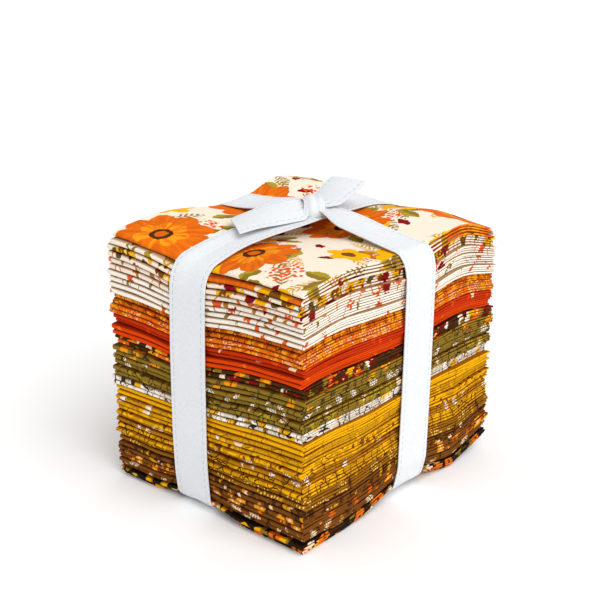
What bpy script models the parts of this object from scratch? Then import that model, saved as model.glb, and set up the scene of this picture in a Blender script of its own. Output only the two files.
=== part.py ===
"""Stack of 24 folded fat quarters, tied both ways with one ribbon that is knotted on top.

Each fat quarter is a sheet laid back and forth in four layers, with two round folds at the front
(-Y), one at the back (+Y) and its layer edges at the left and right. The stack is settled as one:
it is pressed along the ribbon's two lines, crowned between them and curled at one corner. The
ribbon then takes the tightest convex outline round the settled stack.

Frame: +Z up, origin on the surface under the middle of the bundle. Sizes here are millimetres.
"""

import math

import bmesh
import bpy
import numpy as np
from mathutils.geometry import convex_hull_2d

MM = 0.001

# The folded fat quarter: 4.5 by 5.5 inches, four layers high
FOLD_X = 117.0
FOLD_Y = 140.0
LAYERS = 4
CLOTH = 0.95  # one layer: four plies of quilting cotton
LAYER_GAP = 0.30  # mean gap between the layers of one fat quarter
PIECE_GAP = 0.30  # gap between one fat quarter and the next, and under the ribbon

# The ribbon: 7/8 inch wide, its bands centred on these two lines
RIBBON_WIDTH = 22.0
RIBBON_THICKNESS = 0.9
LENGTHWISE_X = -7.5
CROSSWISE_Y = 8.0

# One row for each fat quarter, from the top down. loft widens its layer gaps. left, front, right
# and back push that side out past the nominal outline. turn is in degrees about the middle.
COLUMNS = ("loft", "left", "front", "right", "back", "turn", "colour", "rough")
FAT_QUARTERS = (
    (0.10, -0.6, -0.5, 0.2, -1.0, 0.3, (0.86, 0.75, 0.62), 0.90),
    (0.06, 0.6, 0.2, -0.3, 0.0, 0.4, (0.87, 0.77, 0.64), 0.90),
    (0.02, 0.2, 0.0, 0.3, 0.6, 0.2, (0.88, 0.79, 0.68), 0.90),
    (0.04, 1.0, -0.2, 0.0, 1.2, -0.3, (0.88, 0.79, 0.68), 0.90),
    (-0.03, 0.4, 0.3, 0.5, 0.8, -0.1, (0.89, 0.80, 0.70), 0.90),
    (-0.02, -1.4, 0.0, 0.2, -0.6, 0.3, (0.52, 0.13, 0.03), 0.90),
    (0.05, 0.8, 0.8, -0.2, 0.2, -0.2, (0.86, 0.30, 0.06), 0.90),
    (0.02, -0.8, -0.4, 0.4, -0.6, 0.2, (0.66, 0.09, 0.03), 0.90),
    (0.08, -0.4, 0.6, -0.4, -1.2, -0.3, (0.80, 0.15, 0.03), 0.90),
    (-0.04, -1.6, -0.6, 0.0, 0.4, 0.1, (0.15, 0.09, 0.04), 0.90),
    (0.03, -0.6, 0.4, 0.5, 1.4, -0.3, (0.35, 0.25, 0.05), 0.90),
    (0.00, 1.2, -0.2, -0.6, 0.8, 0.3, (0.30, 0.22, 0.05), 0.90),
    (-0.03, 0.6, 0.5, 0.2, -0.4, 0.1, (0.36, 0.28, 0.06), 0.90),
    (-0.05, 1.8, 0.0, -0.2, -2.4, -0.2, (0.72, 0.66, 0.58), 0.90),
    (0.02, 0.2, -0.5, 0.6, -1.6, 0.4, (0.80, 0.50, 0.03), 0.90),
    (0.03, 0.8, 0.3, -0.3, 0.2, -0.3, (0.62, 0.38, 0.04), 0.90),
    (-0.02, 0.0, 0.7, 0.3, -0.8, 0.1, (0.66, 0.38, 0.03), 0.90),
    (0.00, 1.8, -0.3, 0.0, -0.6, 0.2, (0.40, 0.24, 0.07), 0.90),
    (0.05, 1.4, 0.4, -0.5, 0.2, -0.1, (0.56, 0.33, 0.04), 0.90),
    (-0.03, 0.4, -0.4, 0.5, -0.2, 0.2, (0.33, 0.18, 0.04), 0.90),
    (0.02, 1.2, 0.6, 0.0, -1.0, -0.3, (0.14, 0.07, 0.02), 0.90),
    (-0.02, 0.8, 0.0, 0.4, 0.2, 0.2, (0.25, 0.11, 0.03), 0.90),
    (0.00, 1.6, -0.5, -0.4, 0.4, -0.1, (0.24, 0.13, 0.05), 0.90),
    (0.04, 1.0, 0.3, 0.2, 0.8, 0.2, (0.07, 0.04, 0.03), 0.90),
)

# Where the settled stack's height is set, and how far its top and bottom depart from flat there.
# The lines between them carry on past the ends.
SETTLE_X = (-58.5, -36.0, -7.5, 26.0, 58.5)
SETTLE_Y = (-70.0, -40.0, 8.0, 42.0, 70.0)
TOP_ALONG_X = (4.3, 3.2, -1.4, 1.3, 0.2)
TOP_ALONG_Y = (-2.0, 1.3, -2.2, 3.3, -2.6)
BOTTOM_ALONG_X = (0.0, 0.0, 2.6, 0.0, 0.0)
BOTTOM_ALONG_Y = (0.0, 0.0, 5.0, 0.0, 0.0)
CORNER_DROOP = -2.6  # the top of the corner at +X +Y hangs
CORNER_CURL = 7.0  # and its bottom curls up

# The ribbon draws in the folds near the top and bottom edges where it bends over them
DRAWN_IN = 5.0
DRAWN_DEPTH = 3.0

FOLD_SEGMENTS = 3
EDGE_WANDER = 0.35  # how far single layers stray from their side's line

KNOT_CENTRE = (-6.0, 9.5, 128.0)
# The knot is a flat core of gathered ribbon with one turn of ribbon wrapped over it
LUMP_COLUMNS = ("radii", "turn")
KNOT_LUMPS = (
    ((11.0, 6.5, 4.4), 41.0),
    ((6.0, 7.0, 5.4), 41.0),
)
GATHERED = 0.55  # share of the ribbon's width that is left at the knot
GATHER_START = 4.0  # the bands open to their full width from here
GATHER_REACH = 26.0
GATHER_STEPS = (-26, -19, -12, -6, 0, 6, 12, 19, 26)  # places along a band, from the knot
KNOT_RISE = 5.0  # how far the bands climb towards the knot, in a straight line
RISE_REACH = 48.0
TOP_LEVEL = 100.0  # the ribbon's outline above this height is on the top of the stack
TAIL_STEPS = (0.0, 0.15, 0.32, 0.5, 0.75, 1.0)  # shares of a free end's length
TAIL_OPENS = 0.45  # share of a free end's length over which it opens

TAIL_COLUMNS = ("heading", "rise", "roll", "length", "cut")
TAILS = (
    (261.0, -4.0, 0.0, 44.0, -7.0),  # lies over the lengthwise band, towards the front
    (84.0, 20.0, 10.0, 24.0, 0.0),  # stands up from the knot, towards the back
)


def row_values(columns, row):
    return dict(zip(columns, row))


def along(place, stations, heights):
    """Height on the broken line through the stations, carried on straight past both ends."""
    inside = np.interp(place, stations, heights)
    first = (heights[1] - heights[0]) / (stations[1] - stations[0])
    last = (heights[-1] - heights[-2]) / (stations[-1] - stations[-2])
    before = np.minimum(place - stations[0], 0.0) * first
    after = np.maximum(place - stations[-1], 0.0) * last
    return inside + before + after


def corner_share(x, y):
    """0 on the inner sides of the +X +Y corner panel, 1 at its corner, bilinear between."""
    across = np.maximum((x - SETTLE_X[3]) / (SETTLE_X[4] - SETTLE_X[3]), 0.0)
    deep = np.maximum((y - SETTLE_Y[3]) / (SETTLE_Y[4] - SETTLE_Y[3]), 0.0)
    return across * deep


def settle(points, stack_height):
    """Moves points of the flat stack up or down to where they lie in the tied one."""
    x, y, z = points.T
    corner = corner_share(x, y)
    top = along(x, SETTLE_X, TOP_ALONG_X) + along(y, SETTLE_Y, TOP_ALONG_Y)
    top = top + stack_height + CORNER_DROOP * corner
    bottom = along(x, SETTLE_X, BOTTOM_ALONG_X) + along(y, SETTLE_Y, BOTTOM_ALONG_Y)
    bottom = bottom + CORNER_CURL * corner
    level = z / stack_height
    return np.column_stack((x, y, bottom + level * (top - bottom)))


def fold_path(inner_y, layer_pitch):
    """Steps along the sheet from its top free edge: (layer, side, height) for each step.

    side is a place in Y for a step on a run, or a pair (end, reach) on a fold or free edge, where
    end is -1 at the front and 1 at the back and reach is how far past the run's end it lies.
    """
    steps = []
    radius = layer_pitch / 2
    for layer in range(LAYERS):
        height = (LAYERS - 1 - layer) * layer_pitch
        forward = layer % 2 == 0
        start_end, stop_end = (1, -1) if forward else (-1, 1)
        places = inner_y[::-1] if forward else inner_y
        if layer == 0:
            steps.append((layer, (start_end, radius), height))
        steps.extend((layer, place, height) for place in places)
        if layer == LAYERS - 1:
            steps.append((layer, (stop_end, radius), height))
            continue
        for turn in range(FOLD_SEGMENTS + 1):
            angle = math.pi * turn / FOLD_SEGMENTS
            reach = radius * math.sin(angle)
            drop = radius * (1 - math.cos(angle))
            steps.append((layer + turn / FOLD_SEGMENTS, (stop_end, reach), height - drop))
    return steps


def drawn_in(depth):
    """How far the ribbon pulls a fold in, from its depth below the stack's top or bottom edge."""
    return DRAWN_IN * math.exp(-depth / DRAWN_DEPTH)


def sheet_points(row, base, stack_height, layer_gap):
    """Grid of centre-line points of one fat quarter in the flat stack, columns along X."""
    layer_pitch = CLOTH + layer_gap
    steps = fold_path(SETTLE_Y[1:4], layer_pitch)
    half_x, half_y = FOLD_X / 2, FOLD_Y / 2
    lean = math.tan(math.radians(row["turn"]))
    grid = np.zeros((len(SETTLE_X), len(steps), 3))
    for j, (layer, side, height) in enumerate(steps):
        z = base + CLOTH / 2 + height
        depth = min(z, stack_height - z)
        wander = EDGE_WANDER * math.sin(2.1 * layer + 3.7 * base)
        for i, inner_x in enumerate(SETTLE_X):
            pressed = i == 2
            x = inner_x
            if isinstance(side, tuple):
                end, reach = side
                push = row["front"] if end < 0 else row["back"]
                push = 0.0 if pressed else push + wander - end * inner_x * lean
                pull = drawn_in(depth) if pressed else 0.3 * drawn_in(depth)
                run_end = half_y - layer_pitch / 2 - CLOTH / 2 + push - pull
                y = end * (run_end + reach)
            else:
                y = side
            if i in (0, len(SETTLE_X) - 1):
                end_x = -1 if i == 0 else 1
                held = not isinstance(side, tuple) and side == SETTLE_Y[2]
                push = row["left"] if end_x < 0 else row["right"]
                push = 0.0 if held else push + wander + end_x * y * lean
                pull = drawn_in(depth) if held else 0.3 * drawn_in(depth)
                x = end_x * (half_x + push - pull)
            grid[i, j] = (x, y, z)
    return grid


def split_along_plan(mesh_data):
    """Cuts every four-sided face from the corner with the lowest x + y, so stacked sheets match."""
    for face in list(mesh_data.faces):
        ring = list(face.verts)
        low = min(range(4), key=lambda k: ring[k].co.x + ring[k].co.y + 0.001 * ring[k].co.z)
        bmesh.utils.face_split(face, ring[low], ring[(low + 2) % 4])


def thicken(name, grid, thickness, closed=False):
    """A closed solid of this thickness on a grid of centre points, in millimetres."""
    across, along_count = grid.shape[:2]
    work = bmesh.new()
    bmesh.ops.create_grid(work, x_segments=across - 1, y_segments=along_count - 1, size=1.0)
    work.verts.ensure_lookup_table()
    order = sorted(work.verts, key=lambda v: (round(v.co.x, 4), round(v.co.y, 4)))
    for vertex, point in zip(order, grid.reshape(-1, 3)):
        vertex.co = point
    if closed:
        bmesh.ops.remove_doubles(work, verts=work.verts, dist=0.001)
    split_along_plan(work)
    bmesh.ops.recalc_face_normals(work, faces=work.faces)
    mesh = bpy.data.meshes.new(name)
    work.to_mesh(mesh)
    work.free()
    solid = bpy.data.objects.new(name, mesh)
    bpy.context.scene.collection.objects.link(solid)
    shell = solid.modifiers.new("Thickness", "SOLIDIFY")
    shell.thickness = thickness
    shell.offset = 0.0
    shell.use_even_offset = True
    return solid


def baked_points(solid):
    """Applies the object's modifiers and gives its points as an array."""
    graph = bpy.context.evaluated_depsgraph_get()
    mesh = bpy.data.meshes.new_from_object(solid.evaluated_get(graph))
    old = solid.data
    solid.modifiers.clear()
    solid.data = mesh
    bpy.data.meshes.remove(old)
    mesh.name = solid.name
    return read_points(mesh)


def read_points(mesh):
    flat = np.zeros(len(mesh.vertices) * 3)
    mesh.vertices.foreach_get("co", flat)
    return flat.reshape(-1, 3)


def write_points(mesh, points):
    mesh.vertices.foreach_set("co", np.ascontiguousarray(points).ravel())
    mesh.update()


def make_material(name, colour, rough):
    material = bpy.data.materials.new(name)
    material.use_nodes = True
    shader = material.node_tree.nodes["Principled BSDF"]
    shader.inputs["Base Color"].default_value = (*colour, 1.0)
    shader.inputs["Roughness"].default_value = rough
    shader.inputs["Metallic"].default_value = 0.0
    return material


def stack_plan():
    """Each fat quarter's row, the height it starts at in the flat stack and its layer gap."""
    rows = [row_values(COLUMNS, row) for row in FAT_QUARTERS]
    gaps = [LAYER_GAP + row["loft"] for row in rows]
    spare = sum(gaps) / len(gaps) - LAYER_GAP
    gaps = [gap - spare for gap in gaps]
    heights = [LAYERS * CLOTH + (LAYERS - 1) * gap + PIECE_GAP for gap in gaps]
    total = sum(heights)
    bases = [total - sum(heights[: k + 1]) for k in range(len(heights))]
    return list(zip(rows, bases, gaps)), total


def make_fat_quarters():
    """The 24 settled fat quarters, from the top down."""
    plan, stack_height = stack_plan()
    solids = []
    for number, (row, base, layer_gap) in enumerate(plan, start=1):
        grid = sheet_points(row, base, stack_height, layer_gap)
        solid = thicken(f"fat_quarter_{number:02d}", grid, CLOTH)
        settled = settle(baked_points(solid), stack_height)
        write_points(solid.data, settled)
        solid.data.materials.append(make_material(solid.name, row["colour"], row["rough"]))
        solids.append(solid)
    return solids


def section_points(solids, axis, places):
    """Where the solids' edges cross the planes at these places on one axis: (other axis, z)."""
    other = 1 - axis
    found = []
    for solid in solids:
        points = read_points(solid.data)
        pairs = np.zeros(len(solid.data.edges) * 2, dtype=int)
        solid.data.edges.foreach_get("vertices", pairs)
        first, second = points[pairs[0::2]], points[pairs[1::2]]
        for place in places:
            reach = second[:, axis] - first[:, axis]
            share = np.divide(place - first[:, axis], reach, out=np.full(len(reach), -1.0),
                              where=np.abs(reach) > 1e-9)
            crossing = (share >= 0) & (share <= 1)
            hit = first[crossing] + share[crossing, None] * (second - first)[crossing]
            found.append(hit[:, [other, 2]])
    return np.vstack(found)


def wrap_directions():
    """Directions in which the ribbon's outline is held off the stack, closest at the bends."""
    quarter = (0, 2, 5, 10, 20, 35, 50, 65, 78, 86)
    return [math.radians(turn * 90 + step) for turn in range(4) for step in quarter]


def wrap_outline(points, gap):
    """Corners of the polygon of tangent lines that stays this far off the points."""
    hull = points[convex_hull_2d([tuple(p) for p in points])]
    corners = []
    directions = wrap_directions()
    reaches = [max(hull @ (math.sin(d), math.cos(d))) + gap for d in directions]
    for k, (d1, r1) in enumerate(zip(directions, reaches)):
        d2, r2 = directions[(k + 1) % len(directions)], reaches[(k + 1) % len(directions)]
        spread = math.sin(d1 - d2)
        across = (r1 * math.cos(d2) - r2 * math.cos(d1)) / spread
        up = (r2 * math.sin(d1) - r1 * math.sin(d2)) / spread
        corners.append((across, up))
    return corners


def outline_with_steps(corners, middle, steps):
    """The outline again, with extra points on its top where the band gathers to the knot."""
    count = len(corners)
    dense = []
    for k, start in enumerate(corners):
        stop = corners[(k + 1) % count]
        dense.append(start)
        if min(start[1], stop[1]) < TOP_LEVEL:
            continue
        low, high = sorted((start[0], stop[0]))
        inside = [middle + s for s in steps if low < middle + s < high]
        if stop[0] < start[0]:
            inside.reverse()
        for place in inside:
            share = (place - start[0]) / (stop[0] - start[0])
            dense.append((place, start[1] + share * (stop[1] - start[1])))
    return dense


def smooth_share(value):
    value = min(max(value, 0.0), 1.0)
    return value * value * (3 - 2 * value)


def make_band(name, solids, axis, centre, knot_at, gap):
    """One closed round of ribbon whose centre line lies in the plane at centre on this axis."""
    half = RIBBON_WIDTH / 2
    places = [centre + share * (half + PIECE_GAP) for share in (-1, -0.5, 0, 0.5, 1)]
    points = section_points(solids, axis, places)
    corners = wrap_outline(points, gap + RIBBON_THICKNESS / 2)
    route = outline_with_steps(corners, knot_at, GATHER_STEPS)
    route.append(route[0])
    grid = np.zeros((3, len(route), 3))
    for j, (place, up) in enumerate(route):
        on_top = up > TOP_LEVEL
        away = max(abs(place - knot_at) - GATHER_START, 0.0)
        near = 1 - smooth_share(away / GATHER_REACH) if on_top else 0.0
        climb = 1 - min(away / RISE_REACH, 1.0) if on_top else 0.0
        width = half * (1 - near * (1 - GATHERED))
        for i, offset in enumerate((-width, 0.0, width)):
            grid[i, j, axis] = centre + offset
            grid[i, j, 1 - axis] = place
            grid[i, j, 2] = up + KNOT_RISE * climb
    return thicken(name, grid, RIBBON_THICKNESS, closed=True)


def make_tail(name, row):
    """A free end of ribbon that leaves the knot gathered and opens to its full width."""
    heading, rise, roll = (math.radians(row[key]) for key in ("heading", "rise", "roll"))
    onward = np.array((math.cos(heading) * math.cos(rise), math.sin(heading) * math.cos(rise),
                       math.sin(rise)))
    level = np.array((math.sin(heading), -math.cos(heading), 0.0))
    side = level * math.cos(roll) + np.cross(level, onward) * math.sin(roll)
    grid = np.zeros((3, len(TAIL_STEPS), 3))
    for j, share in enumerate(TAIL_STEPS):
        opened = GATHERED + (1 - GATHERED) * smooth_share(share / TAIL_OPENS)
        for i, offset in enumerate((-1, 0, 1)):
            skew = row["cut"] * offset * share
            along_tail = share * row["length"] + skew
            point = np.array(KNOT_CENTRE) + onward * along_tail
            grid[i, j] = point + side * offset * opened * RIBBON_WIDTH / 2
    return thicken(name, grid, RIBBON_THICKNESS)


def make_lump(name, row):
    """One rounded lump of the knot, longer one way and turned about the upright."""
    bpy.ops.mesh.primitive_uv_sphere_add(segments=14, ring_count=8, radius=1.0)
    lump = bpy.context.object
    lump.name = name
    turn = math.radians(row["turn"])
    spin = np.array(((math.cos(turn), math.sin(turn), 0.0), (-math.sin(turn), math.cos(turn), 0.0),
                     (0.0, 0.0, 1.0)))
    write_points(lump.data, (read_points(lump.data) * row["radii"]) @ spin + KNOT_CENTRE)
    return lump


def fuse(base, others):
    """Joins the others to the base with Boolean unions and removes them."""
    for other in others:
        baked_points(other)
        union = base.modifiers.new("Join", "BOOLEAN")
        union.operation = "UNION"
        union.object = other
        baked_points(base)
        bpy.data.objects.remove(other)


def make_ribbon(solids):
    bands = {
        "crosswise": make_band("crosswise", solids, 1, CROSSWISE_Y, LENGTHWISE_X, PIECE_GAP),
        "lengthwise": make_band("lengthwise", solids, 0, LENGTHWISE_X, CROSSWISE_Y, PIECE_GAP),
    }
    tails = [make_tail(f"tail_{k}", row_values(TAIL_COLUMNS, row)) for k, row in enumerate(TAILS)]
    lumps = [make_lump(f"lump_{k}", row_values(LUMP_COLUMNS, row))
             for k, row in enumerate(KNOT_LUMPS)]
    ribbon = lumps[0]
    fuse(ribbon, [*lumps[1:], *bands.values(), *tails])
    ribbon.name = "ribbon"
    ribbon.data.name = "ribbon"
    ribbon.data.materials.append(make_material("ribbon", (0.85, 0.86, 0.90), 0.75))
    return ribbon


def stand_on_origin(solids):
    """Centres the bundle's box on the origin, its lowest point at zero, and turns it to metres."""
    clouds = [read_points(solid.data) for solid in solids]
    lowest = np.min([cloud.min(axis=0) for cloud in clouds], axis=0)
    highest = np.max([cloud.max(axis=0) for cloud in clouds], axis=0)
    origin = np.array((*((lowest + highest) / 2)[:2], lowest[2]))
    for solid, cloud in zip(solids, clouds):
        write_points(solid.data, (cloud - origin) * MM)


def main():
    for old in list(bpy.data.objects):
        bpy.data.objects.remove(old)
    bundle = bpy.data.collections.new("fat_quarter_bundle")
    bpy.context.scene.collection.children.link(bundle)
    solids = make_fat_quarters()
    solids.append(make_ribbon(solids))
    stand_on_origin(solids)
    for solid in solids:
        for home in list(solid.users_collection):
            home.objects.unlink(solid)
        bundle.objects.link(solid)


main()
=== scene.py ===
import math

import bpy
import numpy as np
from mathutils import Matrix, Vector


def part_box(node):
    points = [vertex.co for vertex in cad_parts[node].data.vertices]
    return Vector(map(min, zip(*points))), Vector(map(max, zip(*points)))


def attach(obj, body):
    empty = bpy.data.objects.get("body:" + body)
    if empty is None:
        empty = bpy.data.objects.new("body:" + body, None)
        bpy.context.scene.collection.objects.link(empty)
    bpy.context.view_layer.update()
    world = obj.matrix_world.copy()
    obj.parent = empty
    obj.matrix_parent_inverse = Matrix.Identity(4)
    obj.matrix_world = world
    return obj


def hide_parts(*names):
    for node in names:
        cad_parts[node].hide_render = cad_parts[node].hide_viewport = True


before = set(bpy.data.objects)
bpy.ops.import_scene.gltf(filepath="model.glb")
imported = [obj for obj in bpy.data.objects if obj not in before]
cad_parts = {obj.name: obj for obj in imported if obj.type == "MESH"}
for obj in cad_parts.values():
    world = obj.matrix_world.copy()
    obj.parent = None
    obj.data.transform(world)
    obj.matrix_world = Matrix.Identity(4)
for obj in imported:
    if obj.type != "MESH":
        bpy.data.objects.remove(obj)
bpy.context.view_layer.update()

mm = 0.001

# The camera and the light

cameraSetup = {
    "azimuth": 40.9,  # degrees from the front (-Y) towards +X
    "elevation": 21.7,
    "distance": 575.2,  # mm from the target
    "targetHeight": 61.25,
    "lens": 72.0,
    "shift": (-0.0107, 0.0763),
}
lightSetup = {
    # a wide soft sun, so that the whole floor is lit alike, and two large lamps
    "sunFrom": (1.0, -0.25, 1.15),
    "sunStrength": 2.3,
    "sunAngle": 55.0,  # degrees
    "lamps": {  # position in metres, size, power
        "fill": ((-0.9, -1.1, 0.75), 1.2, 1.2),
        "rim": ((-0.5, 1.2, 0.9), 1.0, 1.2),
    },
    "world": 0.56,
}
floorSetup = {
    "size": 16.0,
    "shader": {"Base Color": (0.97, 0.97, 0.97, 1.0), "Roughness": 0.9, "Specular IOR Level": 0.1},
}


def addObject(name, data):
    item = bpy.data.objects.new(name, data)
    bpy.context.scene.collection.objects.link(item)
    return item


def turnTowards(direction):
    # The turn that points a lamp's own -Z along the direction
    flat = math.hypot(direction[0], direction[1])
    around = math.atan2(direction[1], direction[0]) - math.pi / 2
    return math.atan2(flat, -direction[2]), 0.0, around


def makeCamera():
    azimuth = math.radians(cameraSetup["azimuth"])
    elevation = math.radians(cameraSetup["elevation"])
    back = np.array((math.sin(azimuth) * math.cos(elevation),
                     -math.cos(azimuth) * math.cos(elevation), math.sin(elevation)))
    data = bpy.data.cameras.new("camera")
    data.lens = cameraSetup["lens"]
    data.shift_x, data.shift_y = cameraSetup["shift"]
    camera = addObject("camera", data)
    camera.location = (back * cameraSetup["distance"] + (0, 0, cameraSetup["targetHeight"])) * mm
    camera.rotation_euler = (math.pi / 2 - elevation, 0.0, azimuth)
    bpy.context.scene.camera = camera


def addLamp(name, kind, place, towards, strength):
    data = bpy.data.lights.new(name, kind)
    data.energy = strength
    lamp = addObject(name, data)
    lamp.location = place
    lamp.rotation_euler = turnTowards(towards)
    return data


def makeLights():
    sunFrom = np.array(lightSetup["sunFrom"])
    sun = addLamp("sun", "SUN", sunFrom, -sunFrom, lightSetup["sunStrength"])
    sun.angle = math.radians(lightSetup["sunAngle"])
    middle = np.array((0.0, 0.0, cameraSetup["targetHeight"] * mm))
    for name, (place, size, power) in lightSetup["lamps"].items():
        addLamp(name, "AREA", place, middle - place, power).size = size
    world = bpy.data.worlds.new("studio")
    world.use_nodes = True
    background = world.node_tree.nodes["Background"]
    background.inputs["Color"].default_value = (1.0, 1.0, 1.0, 1.0)
    background.inputs["Strength"].default_value = lightSetup["world"]
    bpy.context.scene.world = world
    bpy.context.scene.view_settings.view_transform = "Standard"


# The stack as it was folded, in millimetres, before it was tied

stack = {
    "foldX": 117.0,
    "foldY": 140.0,
    "layers": 4,
    "cloth": 0.95,  # one layer: four plies of quilting cotton
    "layerGap": 0.30,
    "pieceGap": 0.30,
    "edgeWander": 0.60,  # how far one fold lies out past another
    "rimWander": 0.40,  # the same for a layer edge
    "foldWander": 0.40,  # how unevenly a fold runs along its length
    "layerSwell": 0.05,  # how far one layer rises and falls inside its gaps
    "foldWave": (55.0, 90.0),  # length of a wave, and how far it moves on from layer to layer
    "rimWave": (48.0, 60.0),
    "swellWave": (60.0, 70.0),
    "drawnIn": 5.0,
    "drawnDepth": 3.0,
    "columns": 45,
    "runSteps": 24,
    "turnSteps": 8,
    "edgeSwell": 0.08,  # how much thicker the cloth is along its layer edges
    "edgeSwellReach": 4.0,
    "edgeShift": 0.9,  # how far the print moves on from one layer edge to the next
    "endAngles": (30.0, 60.0, 80.0),
    "flat": (0.1143, 0.559),  # a fat quarter of 18 by 22 inches, folded in four along its length
}
rim = {
    # How the cloth turns over at a layer edge, from its upper side to its lower one
    "angles": (24.0, 58.0, 90.0, 122.0, 156.0),
    "reach": 0.55,  # of half the thickness
    "square": 0.7,  # below 1 the edge is flatter than an ellipse
}
ribbon = {
    "width": 21.0,
    "thickness": 0.6,
    "cutSize": (0.021, 1.17),
    "gap": 0.35,
    "lengthwiseX": -7.5,
    "crosswiseY": 8.0,
    "pressedReach": 22.0,  # how far from its edge it still presses the folds
    "pressedLeast": 0.3,  # share of its pull that reaches every fold
    "outlineMargin": 2.0,  # past its edges, for the cloth that a band lies on
    "lineMargin": 1.5,  # the same for each third of its width
    "directions": 720,  # of the tangent lines round a section
    "columns": 33,
    "steps": 380,
    "gatherStart": 3.0,  # from the knot
    "gatherReach": 24.0,
    "pleats": 4.0,
    "pleatReach": 15.0,
    "topLevel": 100.0,  # the outline above this height is on the top of the stack
    "sideHeight": 118.0,
}
# One row for each fat quarter from the top down. loft widens its layer gaps. left, front, right
# and back push that side out past the nominal outline. turn is in degrees about the middle.
rowNames = ("slot", "loft", "left", "front", "right", "back", "turn")
fatQuarters = (
    ("cream_bouquet", 0.16, -0.6, -0.5, 0.2, -1.0, 0.3),
    ("cream_garden", 0.12, 0.6, 0.2, -0.9, 0.0, 0.4),
    ("cream_vine", 0.08, 0.2, 0.0, 0.3, 0.6, 0.2),
    ("cream_posy", 0.10, 1.0, -0.2, -0.4, 1.2, -0.3),
    ("cream_ditsy", 0.03, 0.4, 0.3, 0.5, 0.8, -0.1),
    ("rust_crackle", -0.10, -1.4, 0.0, -0.6, -0.6, 0.3),
    ("orange_scallop", -0.06, 0.8, 0.8, -0.2, 0.2, -0.2),
    ("red_leaf", -0.10, -0.8, -0.4, 0.4, -0.6, 0.2),
    ("tomato_plain", -0.06, -0.4, 0.6, -0.8, -1.2, -0.3),
    ("dark_garden", 0.08, -1.6, -0.6, 0.0, 0.4, 0.1),
    ("olive_bloom", 0.10, -0.6, 0.4, 0.5, 1.4, -0.3),
    ("olive_sprig", 0.08, 1.2, -0.2, -1.1, 0.8, 0.3),
    ("olive_crackle", 0.06, 0.6, 0.5, 0.2, -0.4, 0.1),
    ("grey_outline", -0.05, 1.8, 0.0, -0.7, -2.4, -0.2),
    ("yellow_plain", 0.02, 0.2, -0.5, 0.6, -1.6, 0.4),
    ("gold_foliage", 0.03, 0.8, 0.3, -0.3, 0.2, -0.3),
    ("gold_blossom", -0.02, 0.0, 0.7, 0.3, -0.8, 0.1),
    ("tan_sprig", 0.00, 1.8, -0.3, -1.0, -0.6, 0.2),
    ("gold_crackle", 0.05, 1.4, 0.4, -0.5, 0.2, -0.1),
    ("bronze_dot", -0.03, 0.4, -0.4, 0.5, -0.2, 0.2),
    ("umber_dense", 0.02, 1.2, 0.6, 0.0, -1.0, -0.3),
    ("brown_bloom", -0.02, 0.8, 0.0, 0.4, 0.2, 0.2),
    ("brown_sprig", 0.00, 1.6, -0.5, -0.9, 0.4, -0.1),
    ("black_bouquet", 0.04, 1.0, 0.3, 0.2, 0.8, 0.2),
)
# How the tied stack lies: its top and bottom depart from flat by these heights at the stations
settled = {
    "x": (-58.5, -36.0, -7.5, 26.0, 58.5),
    "y": (-70.0, -40.0, 8.0, 42.0, 70.0),
    "topAlongX": (4.3, 3.2, -1.4, 1.3, 0.2),
    "topAlongY": (-2.0, 1.3, -2.2, 3.3, -2.6),
    "bottomAlongX": (0.0, 0.0, 2.6, 0.0, 0.0),
    "bottomAlongY": (0.0, 0.0, 5.0, 0.0, 0.0),
    "cornerDroop": -2.6,
    "cornerCurl": 7.0,
    "middleLean": (2.2, 0.6),  # how much higher the middle layers lie towards +X and +Y
    "nearCorner": 3.0,  # and at the corner at +X -Y
    "nearReach": 50.0,  # how far along the right side that goes
    "swell": 0.30,  # gentle unevenness shared by every layer at a place
    "swellSize": 62.0,
}


def ripple(seed, a, b, wavelength):
    # Three plane waves of falling size, with directions and phases drawn from the seed
    draw = np.random.default_rng(seed)
    total = 0.0
    for octave in range(3):
        heading, phase = draw.uniform(0, 2 * np.pi, 2)
        reach = 2 * np.pi * (1.0 + 0.8 * octave) / wavelength
        wave = np.sin(reach * (a * np.cos(heading) + b * np.sin(heading)) + phase)
        total = total + wave * 0.55 ** octave
    return total / 1.85


def smoothAlong(place, stations, heights):
    # Cubic pieces through the stations, with the mean slope at each, straight on past both ends
    s, h = np.array(stations), np.array(heights)
    slopes = np.diff(h) / np.diff(s)
    tangents = np.concatenate(([slopes[0]], (slopes[:-1] + slopes[1:]) / 2, [slopes[-1]]))
    inside = np.clip(place, s[0], s[-1])
    k = np.clip(np.searchsorted(s, inside, side="right") - 1, 0, len(s) - 2)
    span = s[k + 1] - s[k]
    t = (inside - s[k]) / span
    value = (2 * t**3 - 3 * t**2 + 1) * h[k] + (t**3 - 2 * t**2 + t) * span * tangents[k]
    value = value + (3 * t**2 - 2 * t**3) * h[k + 1] + (t**3 - t**2) * span * tangents[k + 1]
    return value + (place - inside) * np.where(place < s[0], tangents[0], tangents[-1])


def smoothShare(value):
    # 0 below 0, 1 above 1, and 3t^2 - 2t^3 between
    value = np.clip(value, 0.0, 1.0)
    return value * value * (3 - 2 * value)


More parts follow.
